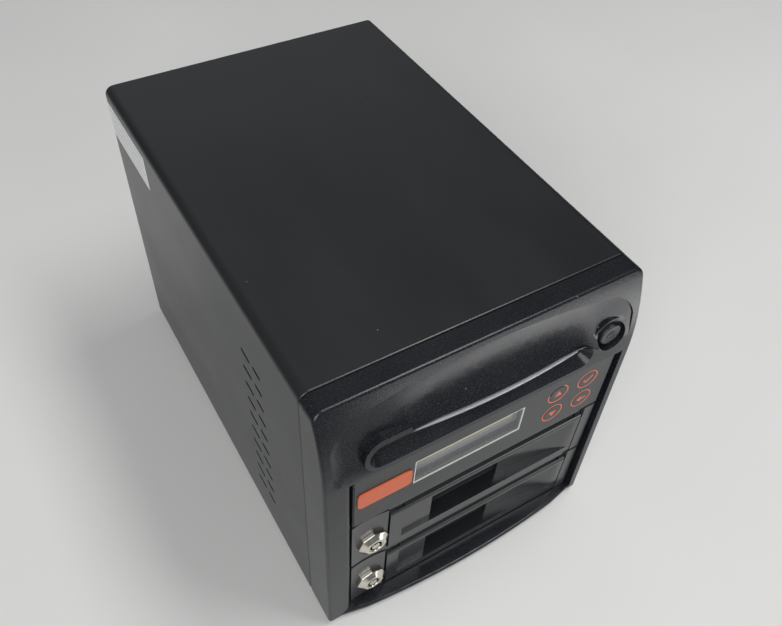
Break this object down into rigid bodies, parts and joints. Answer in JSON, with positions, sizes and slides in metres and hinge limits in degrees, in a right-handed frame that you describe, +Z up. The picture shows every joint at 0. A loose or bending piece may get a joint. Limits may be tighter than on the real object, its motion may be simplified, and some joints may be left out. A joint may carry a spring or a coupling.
{
  "type": "hard drive duplicator",
  "caption": "Black desktop tower hard drive duplicator with display and key panel, lockable pull-out drive racks, scooped front bezel and power button.",
  "frame": {"origin": "middle of the bounding box's bottom, on the surface the feet stand on", "axes": "+Z up, front bezel faces -Y, +X to the right seen from the front"},
  "size_m": [0.1672, 0.2629, 0.181],
  "materials": {
    "cover_paint": "satin black powder coat",
    "inner_steel": "bright zinc-plated sheet",
    "front_plastic": "fine spark-textured black",
    "rack_plastic": "semi-gloss black",
    "overlay_film": "dark grey printed film",
    "key_plastic": "dark grey with orange marks",
    "clear_window": "clear",
    "display_black": "black",
    "display_face": "grey-green reflective display",
    "board_green": "green solder mask",
    "lock_chrome": "polished",
    "plain_steel": "plain",
    "black_plastic": "black",
    "switch_plastic": "dark grey",
    "connector_plastic": "black nylon",
    "foot_rubber": "matt",
    "screw_steel": "black-plated",
    "badge_plastic": "blank orange plate",
    "label_paper": "blank white paper label",
    "cable_red": "red cable jacket",
    "cable_black": "black cable sleeve",
    "ribbon_grey": "grey ribbon",
    "guard_wire": "bright wire"
  },
  "bodies": {
    "chassis": {"top_cover": "cover_paint", "base_chassis": "cover_paint", "rear_panel": "cover_paint", "bay_cage": "inner_steel", "panel_carrier": "inner_steel", "power_supply": "inner_steel", "front_bezel": "front_plastic", "control_panel": "front_plastic", "panel_overlay": "overlay_film", "display_window": "clear_window", "display_frame": "display_black", "display_glass": "display_face", "display_board": "board_green", "key_board": "board_green", "controller_board": "board_green", "board_standoffs": "plain_steel", "badge_plate": "badge_plastic", "side_label": "label_paper", "power_switch": "switch_plastic", "key_switches": "switch_plastic", "rack_sockets": "connector_plastic", "power_inlet": "black_plastic", "exhaust_fan_frame": "black_plastic", "fan_guard": "guard_wire", "feet": "foot_rubber", "foot_screws": "screw_steel", "rear_screws": "screw_steel", "rack_screws": "plain_steel", "display_ribbon": "ribbon_grey", "power_leads": "cable_black", "lower_rack_frame": "rack_plastic", "lower_rack_board": "board_green", "lower_lock_housing": "lock_chrome", "lower_data_cable": "cable_red", "upper_rack_frame": "rack_plastic", "upper_rack_board": "board_green", "upper_lock_housing": "lock_chrome", "upper_data_cable": "cable_red"},
    "power_button": {"power_button": "front_plastic"},
    "up_key": {"up_key": "key_plastic"},
    "down_key": {"down_key": "key_plastic"},
    "confirm_key": {"confirm_key": "key_plastic"},
    "back_key": {"back_key": "key_plastic"},
    "exhaust_rotor": {"exhaust_fan_rotor": "black_plastic"},
    "psu_rotor": {"psu_fan_rotor": "black_plastic"},
    "rocker": {"power_rocker": "switch_plastic"},
    "lower_carrier": {"lower_tray": "black_plastic", "lower_tray_front": "rack_plastic", "lower_tray_plug": "connector_plastic", "lower_handle_pin": "plain_steel"},
    "lower_handle": {"lower_handle": "rack_plastic"},
    "lower_lock_core": {"lower_lock_plug": "lock_chrome", "lower_lock_cam": "plain_steel"},
    "upper_carrier": {"upper_tray": "black_plastic", "upper_tray_front": "rack_plastic", "upper_tray_plug": "connector_plastic", "upper_handle_pin": "plain_steel"},
    "upper_handle": {"upper_handle": "rack_plastic"},
    "upper_lock_core": {"upper_lock_plug": "lock_chrome", "upper_lock_cam": "plain_steel"}
  },
  "joints": [
    {"name": "lower_tray_slide", "type": "slide", "parent": "chassis", "child": "lower_carrier", "axis": [0, -1, 0], "range_m": [0, 0.14]},
    {"name": "lower_handle_hinge", "type": "hinge", "parent": "lower_carrier", "child": "lower_handle", "pos_m": [0.0104, -0.1181, 0.039], "axis": [-1, 0, 0], "range_deg": [0, 80]},
    {"name": "lower_lock_turn", "type": "hinge", "parent": "chassis", "child": "lower_lock_core", "pos_m": [-0.0572, -0.1222, 0.0234], "axis": [0, 1, 0], "range_deg": [0, 90]},
    {"name": "upper_tray_slide", "type": "slide", "parent": "chassis", "child": "upper_carrier", "axis": [0, -1, 0], "range_m": [0, 0.14]},
    {"name": "upper_handle_hinge", "type": "hinge", "parent": "upper_carrier", "child": "upper_handle", "pos_m": [0.0104, -0.1181, 0.08135], "axis": [-1, 0, 0], "range_deg": [0, 80]},
    {"name": "upper_lock_turn", "type": "hinge", "parent": "chassis", "child": "upper_lock_core", "pos_m": [-0.0572, -0.1222, 0.06575], "axis": [0, 1, 0], "range_deg": [0, 90]},
    {"name": "power_button_press", "type": "slide", "parent": "chassis", "child": "power_button", "axis": [0, 1, 0], "range_m": [0, 0.0018], "stiffness_N_per_m": 500, "springref_m": -0.0006},
    {"name": "up_key_press", "type": "slide", "parent": "chassis", "child": "up_key", "axis": [0, 1, 0], "range_m": [0, 0.0008], "stiffness_N_per_m": 800, "springref_m": -0.0004},
    {"name": "down_key_press", "type": "slide", "parent": "chassis", "child": "down_key", "axis": [0, 1, 0], "range_m": [0, 0.0008], "stiffness_N_per_m": 800, "springref_m": -0.0004},
    {"name": "confirm_key_press", "type": "slide", "parent": "chassis", "child": "confirm_key", "axis": [0, 1, 0], "range_m": [0, 0.0008], "stiffness_N_per_m": 800, "springref_m": -0.0004},
    {"name": "back_key_press", "type": "slide", "parent": "chassis", "child": "back_key", "axis": [0, 1, 0], "range_m": [0, 0.0008], "stiffness_N_per_m": 800, "springref_m": -0.0004},
    {"name": "exhaust_fan_spin", "type": "hinge", "parent": "chassis", "child": "exhaust_rotor", "pos_m": [0.0035, 0.1141, 0.062], "axis": [0, 1, 0], "continuous": true},
    {"name": "psu_fan_spin", "type": "hinge", "parent": "chassis", "child": "psu_rotor", "pos_m": [0.00925, 0.1181, 0.1557], "axis": [0, 1, 0], "continuous": true},
    {"name": "rocker_tilt", "type": "hinge", "parent": "chassis", "child": "rocker", "pos_m": [0.05915, 0.1241, 0.1557], "axis": [1, 0, 0], "range_deg": [0, 20]}
  ]
}
